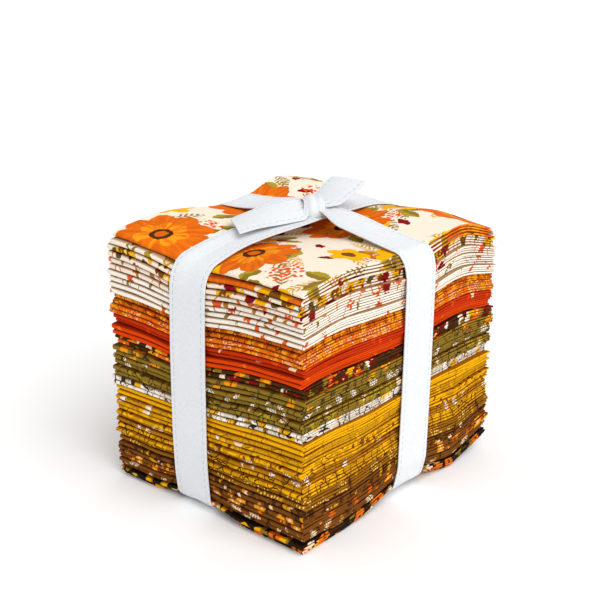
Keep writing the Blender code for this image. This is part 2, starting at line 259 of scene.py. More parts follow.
def settle(points, stackHeight):
    # Height z of the flat stack goes to bottom + z / height * (top - bottom) at its place
    x, y, z = points[..., 0], points[..., 1], points[..., 2]
    xs, ys = settled["x"], settled["y"]
    across = np.maximum((x - xs[3]) / (xs[4] - xs[3]), 0.0)
    deep = np.maximum((y - ys[3]) / (ys[4] - ys[3]), 0.0)
    corner = across * deep
    top = smoothAlong(x, xs, settled["topAlongX"]) + smoothAlong(y, ys, settled["topAlongY"])
    top = top + stackHeight + settled["cornerDroop"] * corner
    bottom = smoothAlong(x, xs, settled["bottomAlongX"])
    bottom = np.maximum(bottom + smoothAlong(y, ys, settled["bottomAlongY"]), 0.0)
    bottom = bottom + settled["cornerCurl"] * corner
    level = z / stackHeight
    lean = settled["middleLean"][0] * x / xs[4] + settled["middleLean"][1] * y / ys[4]
    near = smoothShare((x - xs[2]) / (xs[4] - xs[2]))
    near = near * smoothShare(1 - (y - ys[0]) / settled["nearReach"])
    lean = lean + settled["nearCorner"] * near
    level = level + 4 * level * (1 - level) * lean / stackHeight
    swell = settled["swell"] * ripple(3, x + z * 0.6, y - z * 0.5, settled["swellSize"])
    swell = swell * smoothShare(level * 6)  # none where it stands
    return np.stack((x, y, bottom + level * (top - bottom) + swell), axis=-1)


def eased(steps, even):
    # Shares from 0 to 1, closer together near both ends
    share = np.arange(steps + 1) / steps
    return even * share + (1 - even) / 2 * (1 - np.cos(np.pi * share))


def lengthAlong(line):
    # How far along the line each of its points lies
    return np.concatenate(([0.0], np.cumsum(np.linalg.norm(np.diff(line, axis=0), axis=1))))


def unit(vectors):
    return vectors / np.linalg.norm(vectors, axis=-1, keepdims=True)


def foldPath(pitch):
    # Steps of the cloth from its top free edge, at the back, to its lowest. Each has its layer (a
    # part of one on a fold), its place from back (0) to front (1), its reach past the run's end,
    # its drop from the top layer, its normal (y, z), and the share of the thickness it has.
    radius = pitch / 2
    run = eased(stack["runSteps"], 0.5)
    turn = np.pi * np.arange(1, stack["turnSteps"]) / stack["turnSteps"]
    freeEdge = [(radius, 1.0)]
    for angle in np.radians(stack["endAngles"]):
        freeEdge.append((radius + stack["cloth"] / 2 * np.sin(angle), np.cos(angle)))
    steps = [(0, 0.0, reach, 0.0, 0.0, 1.0, share) for reach, share in freeEdge[::-1]]
    for layer in range(stack["layers"]):
        forward = layer % 2 == 0
        outward = 1.0 if forward else -1.0
        drop = layer * pitch
        fronts = run if forward else 1 - run
        steps += [(layer, front, 0.0, drop, 0.0, outward, 1.0) for front in fronts]
        if layer == stack["layers"] - 1:
            steps += [(layer, 0.0, reach, drop, 0.0, outward, share) for reach, share in freeEdge]
            break
        for angle in turn:
            # At the front the outer side leads, and at the back the inner side does
            up, out = np.cos(angle), np.sin(angle)
            steps.append((layer + angle / np.pi, float(forward), radius * out,
                          drop + radius * (1 - up), -out, outward * up, 1.0))
    return np.array(steps).T


def pressed(place, line):
    # 1 under the ribbon, falling to its least share at a distance
    away = (np.abs(place - line) - ribbon["width"] / 2) / ribbon["pressedReach"]
    least = ribbon["pressedLeast"]
    return least + (1 - least) * (1 - smoothShare(away))


def drawnIn(z, stackHeight):
    # The ribbon pulls the folds in near the top and bottom edges, less and less with depth
    depth = np.minimum(z, stackHeight - z)
    return stack["drawnIn"] * np.exp(-depth / stack["drawnDepth"])


def sectionRings(centre, normal, sides, half):
    # The closed section at each step: the A side at half a thickness along the normal, a rounded
    # rim past the last column, the B side back again and the other rim. sides point out of the
    # first and last column.
    thick = half[..., None]
    turn = np.radians(rim["angles"])
    out = (rim["reach"] * np.sin(turn) ** rim["square"])[None, :, None]
    over = (np.sign(np.cos(turn)) * np.abs(np.cos(turn)) ** rim["square"])[None, :, None]
    faceA = centre + normal * thick
    faceB = (centre - normal * thick)[:, ::-1]
    last = centre[:, -1:] + (sides[1][:, None] * out + normal[:, -1:] * over) * thick[:, -1:]
    first = centre[:, :1] + (sides[0][:, None] * out - normal[:, :1] * over) * thick[:, :1]
    return np.concatenate((faceA, last, faceB, first), axis=1)


def meshFromRings(name, rings, across, along, closed, edges=None):
    # Four-sided faces between neighbouring rings, and a cap at each end of an open path. across and
    # along are the cloth's own coordinates in metres, by place in the ring and by step. edges has
    # those of the rims, so that the print runs on from one to the next.
    steps, count = rings.shape[:2]
    rims = len(rim["angles"])
    columns = count // 2 - rims
    spans = steps if closed else steps - 1
    r, s = (grid.ravel() for grid in np.meshgrid(np.arange(count), np.arange(spans), indexing="ij"))
    ringAt = np.stack((r, r, r + 1, r + 1), axis=1)
    stepAt = np.stack((s, s + 1, s + 1, s), axis=1)
    faces = [(ringAt, stepAt)]
    if not closed:
        k = np.arange(columns - 1)
        back = 2 * columns + rims - 1 - k  # the B side's place under column k
        strip = np.stack((k, k + 1, back - 1, back), axis=1)
        lastRim = np.concatenate(([columns + rims], np.arange(columns - 1, columns + rims)))[None]
        firstRim = np.concatenate(([0], np.arange(2 * columns + rims - 1, count)))[None]
        for capRing in (strip, lastRim, firstRim):
            faces.append((capRing, np.zeros_like(capRing)))
            faces.append((capRing[:, ::-1], np.full_like(capRing, steps - 1)))
    mesh = bpy.data.meshes.new(name)
    corners = [((stepAt % steps) * count + ringAt % count).tolist() for ringAt, stepAt in faces]
    mesh.from_pydata(rings.reshape(-1, 3), [], [face for group in corners for face in group])
    ringAll, stepAll = (np.concatenate([group.ravel() for group in groups]) for groups in zip(*faces))
    u, v = across[ringAll], along[stepAll]
    if edges is not None:
        start = np.concatenate([np.repeat(ringAt.min(axis=1), ringAt.shape[1])
                                for ringAt, stepAt in faces])
        first, last = 2 * columns + rims - 1, columns - 1
        onFirst = start >= first
        onLast = (start >= last) & (start <= last + rims)
        u = np.where(onFirst, edges[0][stepAll] + u - across[first], u)
        u = np.where(onLast, edges[0][stepAll] + u - across[last], u)
        v = np.where(onFirst | onLast, edges[1][stepAll], v)
    layer = mesh.uv_layers.new(name="cloth")
    layer.data.foreach_set("uv", np.column_stack((u, v)).ravel())
    mesh.shade_smooth()
    mesh.set_sharp_from_angle(angle=math.radians(60))
    return addObject(name, mesh)


def ringCoordinate(across, rimLength):
    # Length round the section, from the first column over the A side, rim, B side and rim
    rims = len(rim["angles"])
    onRim = rimLength * np.arange(1, rims + 1) / (rims + 1)
    oneSide = np.concatenate((across, across[-1] + onRim))
    length = across[-1] - across[0] + rimLength
    return np.concatenate((oneSide, oneSide + length, oneSide[:1] + 2 * length))


def markGrooveShade(piece, layer, isTop, isBottom):
    # Writes how far each point faces up or down, so how deep in the grooves between the layers it
    # lies: the mask for the shade painted into those grooves. The outer sides of the stack lie in
    # none.
    mesh = piece.data
    normals = np.zeros(len(mesh.vertices) * 3)
    mesh.vertices.foreach_get("normal", normals)
    upward = normals.reshape(len(layer), -1, 3)[..., 2]
    highest, lowest = layer[:, None] < 0.5, layer[:, None] > stack["layers"] - 1.5
    outer = (isTop & highest & (upward > 0)) | (isBottom & lowest & (upward < 0))
    grooveShade = np.where(outer, 0.0, np.abs(upward))
    mesh.attributes.new("grooveShade", "FLOAT", "POINT").data.foreach_set("value", grooveShade.ravel())


def foldedSheet(row, seed, base, stackHeight, layerGap):
    # Rings of one fat quarter in the flat stack. The run's ends lie on slightly uneven lines, moved
    # by the row's pushes, turned by its turn and drawn in under the ribbon.
    pitch = stack["cloth"] + layerGap
    layer, front, reach, drop, normalY, normalZ, share = foldPath(pitch)[..., None]
    halfX, halfY, half = stack["foldX"] / 2, stack["foldY"] / 2, stack["cloth"] / 2
    lean = math.tan(math.radians(row["turn"]))
    phase = 3.7 * base  # no two fat quarters wander alike
    z = base + half + (stack["layers"] - 1) * pitch - drop
    column = eased(stack["columns"] - 1, 0.6)
    x = (2 * column - 1)[None, :] * halfX
    pull = drawnIn(z, stackHeight)
    pullY = pull * pressed(x, ribbon["lengthwiseX"])

    def foldLine(fold, push, side):
        # Distance of a run's end from the middle, along the fold's length
        length, step = stack["foldWave"]
        wander = stack["edgeWander"] * np.sin(2.1 * fold + phase)
        wander = wander + stack["foldWander"] * ripple(seed * 11 + 5, x, fold * step, length)
        return halfY - pitch / 2 - half + push + wander - side * x * lean - pullY

    frontLine = foldLine(2 * np.floor(layer / 2) + 0.5, row["front"], -1)
    backLine = foldLine(2 * np.floor((layer + 1) / 2) - 0.5, row["back"], 1)
    y = backLine * (1 - front) - frontLine * front + np.where(front > 0.5, -1.0, 1.0) * reach
    pullX = pull * pressed(y, ribbon["crosswiseY"])

    def rimLine(push, key):
        # The same for the layer edges at one side
        length, step = stack["rimWave"]
        wander = stack["rimWander"] * np.sin(1.3 * layer + phase)
        wander = wander + stack["foldWander"] * ripple(key, y, layer * step, length)
        return halfX - half + push + wander - pullX

    left = y * lean - rimLine(row["left"], seed * 17 + 2)
    right = y * lean + rimLine(row["right"], seed * 13 + 1)
    x = left * (1 - column) + right * column
    low = np.floor(layer)
    length, step = stack["swellWave"]
    for near, weight in ((low, 1 - (layer - low)), (low + 1, layer - low)):
        z = z + stack["layerSwell"] * weight * ripple(seed * 19, x + near * step, y, length)
    centre = np.stack(np.broadcast_arrays(x, y, z), axis=-1)
    normal = np.zeros_like(centre)
    normal[..., 1], normal[..., 2] = normalY, normalZ
    sides = np.zeros((2, len(centre), 3))
    sides[0, :, 0], sides[1, :, 0] = -1.0, 1.0
    fromEdge = halfX * (1 - np.abs(2 * column - 1))
    thicker = 1 + stack["edgeSwell"] * np.exp(-fromEdge / stack["edgeSwellReach"])
    rings = sectionRings(centre, normal, sides, half * share * thicker)
    middle = centre[:, stack["columns"] // 2]
    layer = layer[:, 0]
    return {
        "slot": row["slot"],
        "rings": settle(rings, stackHeight),
        "across": ringCoordinate((2 * column - 1) * halfX, np.pi * half) * mm,
        "along": lengthAlong(middle) * mm,
        "edges": (layer * stack["edgeShift"] * mm, middle[:, 1] * mm),
        "layer": layer,
    }


def planSheets():
    # The sheets from the top down. A row's place in the table is its seed.
    rows = [dict(zip(rowNames, row)) for row in fatQuarters]
    gaps = np.array([row["loft"] for row in rows])
    gaps = stack["layerGap"] + gaps - gaps.mean()
    heights = stack["layers"] * stack["cloth"] + (stack["layers"] - 1) * gaps + stack["pieceGap"]
    total = heights.sum()
    bases = total - np.cumsum(heights)
    return [foldedSheet(row, seed, base, total, gap)
            for seed, (row, base, gap) in enumerate(zip(rows, bases, gaps))]


def bundleOrigin(sheets, lowestRibbon):
    # Where the frame's origin lies in the stack: each sheet's box is matched to its node's, and the
    # lowest point of all stands on the floor
    offsets = []
    for number, sheet in enumerate(sheets, start=1):
        low, high = (np.array(corner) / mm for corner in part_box(f"fat_quarter_{number:02d}"))
        flat = sheet["rings"].reshape(-1, 3)
        offsets.append((flat.min(axis=0) + flat.max(axis=0)) / 2 - (low + high) / 2)
    origin = np.mean(offsets, axis=0)
    lowest = min([sheet["rings"][..., 2].min() for sheet in sheets] + [lowestRibbon])
    return np.array((origin[0], origin[1], lowest))


# The ribbon

bands = {
    # The lengthwise band lies nearly flat under the knot, and the crosswise one arches up to it.
    # At each station along the band its middle rises and its edges tilt by so many mm.
    "crosswise": {
        "axis": 1,  # the axis that the band doesn't run along
        "line": "crosswiseY",
        "showing": 1,  # the side that shows
        "offLine": (0.0, -3.0),  # how far off its line the band lies at that side's top and bottom
        "gathered": 0.42,  # share of the width that is left at the knot
        "atKnot": 3.0,  # how far its middle moves over there
        "stations": (-60.0, -48.0, -36.0, -24.0, -12.0, 0.0, 12.0, 22.0, 34.0, 48.0, 60.0),
        "rises": (0.0, 0.3, 1.6, 4.0, 5.8, 6.2, 5.4, 4.0, 2.2, 0.5, 0.0),
        "tilts": (0.0, 0.0, 0.0, 0.0, 0.0, 0.0, -0.3, -0.6, -0.7, -0.5, 0.0),
        "pleatHeight": 0.4,
    },
    "lengthwise": {
        "axis": 0,
        "line": "lengthwiseX",
        "showing": -1,
        "offLine": (1.5, -0.5),
        "gathered": 0.95,
        "atKnot": 0.0,
        "stations": (-64.0, -50.0, -30.0, -8.0, 10.0, 30.0, 50.0, 64.0),
        "rises": (0.0, 1.0, 1.9, 1.8, 2.0, 1.8, 1.0, 0.0),
        "tilts": (0.2, 0.6, 0.6, 0.2, -0.5, -0.8, -0.8, 0.0),
        "pleatHeight": 0.1,
    },
}
knot = {
    "centre": (-4.5, 8.3, 126.7),
    "heading": 41.0,  # the line along which the gathered strips pass through the wrap
    "tilt": 22.0,  # the wrap leans down on the side away from its heading
    "halfLong": 7.4,
    "halfHigh": 4.7,
    "width": 10.0,
    "columns": 29,
    "steps": 96,
    "bulge": (0.13, 0.10),  # how much nearer its edges lie, with the square and fourth power
    "narrowing": 0.10,
    "slant": 1.3,
    "folds": 1.9,
    "foldHeight": 0.34,
}
freeEnds = {
    # Points along the strip from its front end through the knot to its back end
    "points": (
        (-13.5, -33.9, 126.2), (-13.1, -24.6, 126.7), (-11.8, -15.0, 127.1),
        (-10.0, -5.5, 127.4), (-7.9, 3.5, 127.6), (-5.2, 9.5, 128.0),
        (-2.6, 16.5, 130.2), (-2.0, 24.0, 133.5), (-2.4, 32.2, 137.0)),
    "held": 5,  # the point at the knot
    "cut": (-7.0, 0.0),  # how far the corners of each end run ahead
    "rollShares": (0.0, 0.36, 0.50, 0.62, 0.74, 1.0),
    "rolls": (2.0, -8.0, -12.0, -16.0, 0.0, 4.0),  # degrees about the strip's own line
    "steps": 150,
    "gathered": 0.60,
    "heldHalf": 2.5,
    "open": (9.0, 5.0),  # length over which the front and back ends open
    "ridges": ((0.55, 5.0, 0.3), (0.30, 9.0, 1.3)),  # height, count and phase where it is gathered
    "twist": (0.35, 6.5, 0.8),  # height, length and phase
    "cup": -0.9,  # how far its edges bend down
}
sectionMiddle = np.array((0.0, 60.0))  # a point well inside the section of the stack


def closedOutline(points, gap):
    # The tightest convex line round the points, this far off them: tangent lines in many
    # directions, each meeting the next
    angles = np.linspace(0, 2 * np.pi, ribbon["directions"], endpoint=False)
    units = np.column_stack((np.sin(angles), np.cos(angles)))
    reach = (points @ units.T).max(axis=0) + gap
    nextUnits, nextReach = np.roll(units, -1, axis=0), np.roll(reach, -1)
    spread = units[:, 0] * nextUnits[:, 1] - units[:, 1] * nextUnits[:, 0]
    across = (reach * nextUnits[:, 1] - nextReach * units[:, 1]) / spread
    up = (nextReach * units[:, 0] - reach * nextUnits[:, 0]) / spread
    return np.column_stack((across, up))


def evenSteps(line, count):
    # The same closed line with points at even distances, and those distances with the whole length
    line = np.vstack((line, line[:1]))
    length = lengthAlong(line)
    places = np.linspace(0, length[-1], count + 1)
    return np.column_stack([np.interp(places[:-1], length, values) for values in line.T]), places


def pleat(column, count, phase):
    # Soft ridges across the width, as cos of the count of pleats
    return np.cos(np.pi * column * count + phase)


def outlineReach(points, gap, angles):
    # How far the outline round the points lies from the section's middle, in each direction
    outline = evenSteps(closedOutline(points, gap), 4 * ribbon["steps"])[0] - sectionMiddle
    found = np.arctan2(outline[:, 1], outline[:, 0])
    return np.interp(angles, found, np.linalg.norm(outline, axis=1), period=2 * np.pi)


def makeBand(cloud, band):
    # One round of ribbon over the top, down both sides and under the bottom. It follows the
    # outlines under both its edges and its middle, and on the top it arches up to the knot.
    axis, centre = band["axis"], ribbon[band["line"]]
    section = cloud[:, (1 - axis, 2)]
    away = cloud[:, axis] - centre
    gap = ribbon["gap"] + ribbon["thickness"] / 2
    under = np.abs(away) < ribbon["width"] / 2 + ribbon["outlineMargin"]
    outline = closedOutline(section[under], gap)
    route, along = evenSteps(outline, ribbon["steps"])
    fromMiddle = route - sectionMiddle
    angles = np.arctan2(fromMiddle[:, 1], fromMiddle[:, 0])
    rays = unit(fromMiddle)
    reaches = []
    for line in (-ribbon["width"] / 3, 0.0, ribbon["width"] / 3):
        near = section[np.abs(away - line) < ribbon["width"] / 6 + ribbon["lineMargin"]]
        reaches.append(outlineReach(near, gap, angles)[:, None])
    column = np.linspace(-1, 1, ribbon["columns"])
    outer = np.clip(np.abs(column) * 1.5, 0.0, 1.0)
    reach = np.where(column < 0, reaches[0], reaches[2]) * outer + reaches[1] * (1 - outer)
    for turn in range(3):
        reach = (np.roll(reach, 1, axis=0) + 2 * reach + np.roll(reach, -1, axis=0)) / 4
    place = sectionMiddle[0] + rays[:, :1] * reach
    up = sectionMiddle[1] + rays[:, 1:] * reach
    onTop = up > ribbon["topLevel"]
    fromKnot = np.abs(place - knot["centre"][1 - axis])
    opened = smoothShare((fromKnot - ribbon["gatherStart"]) / ribbon["gatherReach"])
    gather = np.where(onTop, 1 - opened, 0.0)
    stations = band["stations"]
    within = np.clip(place, stations[0], stations[-1])
    rise = smoothAlong(within, stations, band["rises"])
    rise = rise + smoothAlong(within, stations, band["tilts"]) * column
    folds = 1 - smoothShare(fromKnot / ribbon["pleatReach"])
    rise = rise + band["pleatHeight"] * folds * pleat(column, ribbon["pleats"], 0.6)
    low = 1 - np.clip(up / ribbon["sideHeight"], 0.0, 1.0)
    shown = 0.5 + 0.5 * np.clip(band["showing"] * place / (stack["foldX"] / 2), -1.0, 1.0)
    top, bottom = band["offLine"]
    offset = top + (bottom - top) * low * shown + band["atKnot"] * gather
    width = ribbon["width"] / 2 * (1 - gather * (1 - band["gathered"]))
    grid = np.zeros((len(route), len(column), 3))
    grid[..., axis] = centre + offset + width * column
    grid[..., 1 - axis] = place
    grid[..., 2] = up + np.where(onTop, rise, 0.0)
    return grid, along * mm


def ribbonRings(grid, closed):
    # Section rings of a strip whose centre surface is the grid
    alongStep = np.gradient(grid, axis=0)
    if closed:
        alongStep = np.roll(grid, -1, axis=0) - np.roll(grid, 1, axis=0)
    normal = unit(np.cross(alongStep, np.gradient(grid, axis=1)))
    sides = unit(np.stack((grid[:, 0] - grid[:, 1], grid[:, -1] - grid[:, -2])))
    return sectionRings(grid, normal, sides, np.full(grid.shape[:2], ribbon["thickness"] / 2))


def stripCoordinate(columns, width):
    # Across the strip from edge to edge, the same on both sides, with the rims just past the edges
    across = np.linspace(-width / 2, width / 2, columns)
    onRim = np.full(len(rim["angles"]), width / 2 + 0.2)
    return np.concatenate((across, onRim, across[::-1], -onRim, across[:1])) * mm


def makeWrap():
    # One turn of gathered ribbon round the knot: a leaning ellipse whose section bulges in the
    # middle, with soft folds that run slanting over it
    heading, tilt = math.radians(knot["heading"]), math.radians(knot["tilt"])
    axis = np.array((math.cos(heading), math.sin(heading), 0.0))
    flat = np.array((math.sin(heading), -math.cos(heading), 0.0))
    upright = np.array((0.0, 0.0, 1.0))
    long = flat * math.cos(tilt) - upright * math.sin(tilt)
    high = flat * math.sin(tilt) + upright * math.cos(tilt)
    around = np.linspace(0, 2 * np.pi, knot["steps"] + 1)
    angle = around[:-1, None]
    column = np.linspace(-1, 1, knot["columns"])
    bulge = 1 - knot["bulge"][0] * column**2 - knot["bulge"][1] * column**4
    folds = knot["foldHeight"] * pleat(column, knot["folds"], 0.7 + 1.1 * np.sin(angle - 0.4))
    slant = knot["slant"] * np.sin(angle + 0.5)  # the turn isn't quite square to the knot's line
    wide = knot["width"] / 2 * (1 - knot["narrowing"] * np.sin(angle))
    reachLong, reachHigh = knot["halfLong"] * bulge + folds, knot["halfHigh"] * bulge + folds
    grid = (np.array(knot["centre"]) + axis * (column * wide + slant)[..., None]
            + long * (reachLong * np.cos(angle))[..., None]
            + high * (reachHigh * np.sin(angle))[..., None])
    return grid, around * (knot["halfLong"] + knot["halfHigh"]) / 2 * mm


def smoothRoute(points, count):
    # Cubic pieces through the points by their distance from the start
    points = np.array(points)
    length = lengthAlong(points)
    places = np.linspace(0, length[-1], count)
    return np.column_stack([smoothAlong(places, length, values) for values in points.T]), places


def makeFreeEnds():
    # The strip through the knot: full width and nearly flat at both ends, gathered where it is held
    route, along = smoothRoute(freeEnds["points"], freeEnds["steps"])
    tangent = unit(np.gradient(route, axis=0))
    level = unit(np.column_stack((tangent[:, 1], -tangent[:, 0], np.zeros(len(route)))))
    upward = np.cross(level, tangent)
    share = along / along[-1]
    roll = np.radians(smoothAlong(share, freeEnds["rollShares"], freeEnds["rolls"]))[:, None]
    side = level * np.cos(roll) + upward * np.sin(roll)
    lift = np.cross(side, tangent)
    holdPoint = np.array(freeEnds["points"][freeEnds["held"]])
    held = along[np.argmin(np.linalg.norm(route - holdPoint, axis=1))]
    opening = np.where(along < held, freeEnds["open"][0], freeEnds["open"][1])
    opened = smoothShare((np.abs(along - held) - freeEnds["heldHalf"]) / opening)[:, None]
    gather = 1 - opened
    column = np.linspace(-1, 1, ribbon["columns"])
    width = ribbon["width"] / 2 * (1 - (1 - freeEnds["gathered"]) * gather)
    skew = np.interp(share, (0, 0.5, 1), (freeEnds["cut"][0], 0, freeEnds["cut"][1]))[:, None]
    twistHeight, twistLength, twistPhase = freeEnds["twist"]
    high = twistHeight * np.sin(along / twistLength + twistPhase)[:, None] * column
    for height, count, phase in freeEnds["ridges"]:
        high = high + height * gather * pleat(column, count, phase)
    high = high + freeEnds["cup"] * column**2 * opened
    grid = (route[:, None] + side[:, None] * (width * column)[..., None]
            + tangent[:, None] * (skew * column)[..., None] + lift[:, None] * high[..., None])
    return grid, along * mm


def joinPieces(name, pieces):
    # One object holding every shell, with the cloth coordinates kept
    meshes = [piece.data for piece in pieces]
    with bpy.context.temp_override(active_object=pieces[0], selected_editable_objects=pieces):
        bpy.ops.object.join()
    pieces[0].name = name
    pieces[0].data.name = name
    for mesh in meshes[1:]:
        bpy.data.meshes.remove(mesh)
    return pieces[0]


def makeRibbonParts(cloud):
    # name: (grid, along, closed) of each strip of the tie
    parts = {name: (*makeBand(cloud, band), True) for name, band in bands.items()}
    parts["wrap"] = (*makeWrap(), True)
    parts["freeEnds"] = (*makeFreeEnds(), False)
    return parts


# Shader maths


class Signal:
    # One output of a shader node. Arithmetic on it adds Math nodes to the same tree.
    def __init__(self, tree, socket):
        self.tree = tree
        self.socket = socket

    def make(self, kind, settings, sockets, result=0):
        # A node of this kind: first its settings, then the values or links of its sockets
        node = self.tree.nodes.new(kind)
        for key, value in settings.items():
            setattr(node, key, value)
        for key, value in sockets.items():
            if isinstance(value, Signal):
                self.tree.links.new(value.socket, node.inputs[key])
            else:
                node.inputs[key].default_value = value
        return Signal(self.tree, node.outputs[result])

    def other(self, result):
        # Another output of the same node
        return Signal(self.tree, self.socket.node.outputs[result])

    def split(self):
        # Its x and y
        x = self.make("ShaderNodeSeparateXYZ", {}, {"Vector": self}, "X")
        return x, x.other("Y")

    def math(self, operation, *others, clamp=False):
        settings = {"operation": operation, "use_clamp": clamp}
        return self.make("ShaderNodeMath", settings, dict(enumerate((self, *others))))

    def vector(self, operation, *others, scale=None, result="Vector"):
        sockets = dict(enumerate((self, *others)))
        if scale is not None:
            sockets["Scale"] = scale
        return self.make("ShaderNodeVectorMath", {"operation": operation}, sockets, result)

    def __add__(self, value):
        return self.math("ADD", value)

    def __sub__(self, value):
        return self.math("SUBTRACT", value)

    def __rsub__(self, value):
        return self.make("ShaderNodeMath", {"operation": "SUBTRACT"}, {0: value, 1: self})

    def __mul__(self, value):
        return self.math("MULTIPLY", value)

    def __truediv__(self, value):
        return self.math("DIVIDE", value)

    def __abs__(self):
        return self.math("ABSOLUTE")

    __radd__ = __add__
    __rmul__ = __mul__


def cover(inside, soft=0.2):
    # A mask from a distance inside an edge, in mm: full where it is more than soft
    return inside.math("DIVIDE", soft, clamp=True)


def blend(ground, colour, mask):
    sockets = {0: mask, 6: ground, 7: colour}
    return mask.make("ShaderNodeMix", {"data_type": "RGBA"}, sockets, 2)


def noise(place, size, detail=1.0, result=0):
    # Smooth noise from 0 to 1 whose lumps are about this many mm across
    sockets = {"Vector": place, "Scale": 1 / size, "Detail": detail}
    return place.make("ShaderNodeTexNoise", {"noise_dimensions": "2D"}, sockets, result)


def cells(cloth, spacing, shift, jitter, feature, result):
    # The cells of a jittered grid, moved on by the shift, and the place in units of a cell
    place = cloth.vector("MULTIPLY_ADD", (1 / spacing,) * 3, (*shift, 0.0))
    settings = {"voronoi_dimensions": "2D", "feature": feature}
    sockets = {"Vector": place, "Scale": 1.0, "Randomness": jitter}
    return place.make("ShaderNodeTexVoronoi", settings, sockets, result), place


# The prints

dyes = {  # as they look in even light, 0 to 255
    "cream": (250, 235, 214), "ivory": (253, 244, 230), "shell": (246, 214, 176),
    "grey": (228, 218, 200), "gold": (243, 178, 10), "butter": (252, 208, 96),
    "amber": (242, 156, 26), "mustard": (212, 152, 14), "ochre": (188, 124, 18),
    "bronze": (150, 98, 20), "tan": (170, 112, 36), "orange": (234, 112, 14),
    "coral": (230, 88, 30), "tomato": (226, 70, 8), "brick": (200, 52, 10),
    "rust": (214, 98, 16), "burgundy": (138, 16, 22), "lime": (174, 150, 40),
    "olive": (144, 116, 40), "moss": (98, 80, 32), "brown": (124, 74, 26),
    "umber": (74, 44, 18), "soot": (40, 28, 18), "ink": (50, 40, 30),
    "sky": (150, 188, 214), "white": (226, 230, 236), "chalk": (240, 242, 243),
}


def dye(name, depth=1.0):
    # The linear colour of a dye
    share = np.array(dyes[name]) / 255
    linear = np.where(share <= 0.04045, share / 12.92, ((share + 0.055) / 1.055) ** 2.4)
    return (*(linear * depth).tolist(), 1.0)


def scatter(cloth, spacing, seed, jitter=0.8):
    # One place in each cell of a jittered grid. Gives how far a point lies from it in mm, along
    # axes turned at random, and two numbers drawn for the place.
    shift = (seed * 5.31 % 83, seed * 2.87 % 71)
    draw, place = cells(cloth, spacing, shift, jitter, "F1", "Color")
    turn = draw.make("ShaderNodeSeparateColor", {}, {"Color": draw}, "Red")
    away = place.vector("SUBTRACT", draw.other("Position")).vector("SCALE", scale=spacing)
    sockets = {"Vector": away, "Angle": turn * 6.283}
    x, y = away.make("ShaderNodeVectorRotate", {"rotation_type": "Z_AXIS"}, sockets).split()
    return {"x": x, "y": y, "far": away.vector("LENGTH", result="Value"),
            "draw": turn.other("Green"), "chance": turn.other("Blue")}


def kept(spot, share):
    # 1 at the share of places that hold the motif
    return spot["chance"].math("LESS_THAN", share)


def petalEdge(spot, size, count, depth):
    # Distance inside a flower's outline: a circle that dips between the petals
    angle = spot["y"].math("ARCTAN2", spot["x"])
    lobes = abs((angle * (count / 2)).math("COSINE"))
    return (lobes * depth + (1 - depth)) * size - spot["far"], angle


def pointedOval(x, y, start, length, width):
    # Distance inside a leaf from start to start + length along x
    share = (x - (start + length / 2)) / (length / 2)
    return (1 - share * share) * width - abs(y)


def motif(draw):
    # A drawing function as one that first takes its sizes and colours, then the cloth and the seed
    return lambda *sizes, **more: lambda cloth, seed: draw(cloth, seed, *sizes, **more)


@motif
def bloom(cloth, seed, spacing, size, paint, petals=5, depth=0.4, eye=None, share=1.0):
    spot = scatter(cloth, spacing, seed)
    edge, angle = petalEdge(spot, spot["draw"] * (0.4 * size) + 0.8 * size, petals, depth)
    mask = cover(edge) * kept(spot, share)
    marks = [(mask, dye(paint))]
    if eye:
        marks.append((cover(size * 0.3 - spot["far"]) * mask, dye(eye)))
    return marks


@motif
def rosette(cloth, seed, spacing, size, paint, shade, light, eye, petals=9):
    # A full flower in brushed tones: outer petals, a ring of inner ones and a dark middle
    spot = scatter(cloth, spacing, seed, 0.55)
    outer, angle = petalEdge(spot, spot["draw"] * (0.3 * size) + 0.85 * size, petals, 0.22)
    inner, angle = petalEdge(spot, size * 0.62, petals - 2, 0.26)
    sockets = {"X": angle * 5.0, "Y": spot["far"] / size * 1.2}
    strokes = angle.make("ShaderNodeCombineXYZ", {}, sockets)
    brush = (noise(strokes, 1.0, 2.0) - 0.42).math("MULTIPLY", 5.0, clamp=True)
    tone = blend(dye(shade), dye(paint), brush)
    innerTone = blend(dye(paint), dye(light), brush)
    mask = cover(outer)
    return [(mask, tone), (cover(inner) * mask, innerTone),
            (cover(size * 0.26 - spot["far"]) * mask, dye(eye)),
            (cover(size * 0.15 - spot["far"]) * mask, dye(shade))]


@motif
def leaves(cloth, seed, spacing, size, paint, width=0.22, light=None, pair=False, share=1.0):
    # One leaf at each place, or two that open from one stalk. light colours its other half.
    spot = scatter(cloth, spacing, seed)
    x, y = spot["x"], spot["y"]
    if pair:
        cosine, sine = 0.82, 0.57  # of the 35 degrees between a leaf and the stalk
        side = abs(y)
        x, y = x * cosine + side * sine, side * cosine - x * sine
    start = 0.0 if pair else -size / 2
    mask = cover(pointedOval(x, y, start, size, width * size)) * kept(spot, share)
    marks = [(mask, dye(paint))]
    if light:
        marks.append((cover(y, 0.4) * mask, dye(light)))
    return marks


@motif
def sprigs(cloth, seed, spacing, size, paint, width=0.2, pitch=1.3, share=1.0):
    # A stem with slanted leaflets down both sides
    spot = scatter(cloth, spacing, seed)
    side = abs(spot["y"])
    rows = abs(((spot["x"] + side * 0.9) / pitch).math("FRACT") - 0.5)
    within = cover(pointedOval(spot["x"], spot["y"], -size / 2, size, width * size), 0.1)
    leaflets = cover(0.3 - rows, 0.12) * within
    stem = cover(0.17 - side, 0.1) * cover(size / 2 - abs(spot["x"]))
    return [(leaflets.math("MAXIMUM", stem) * kept(spot, share), dye(paint))]


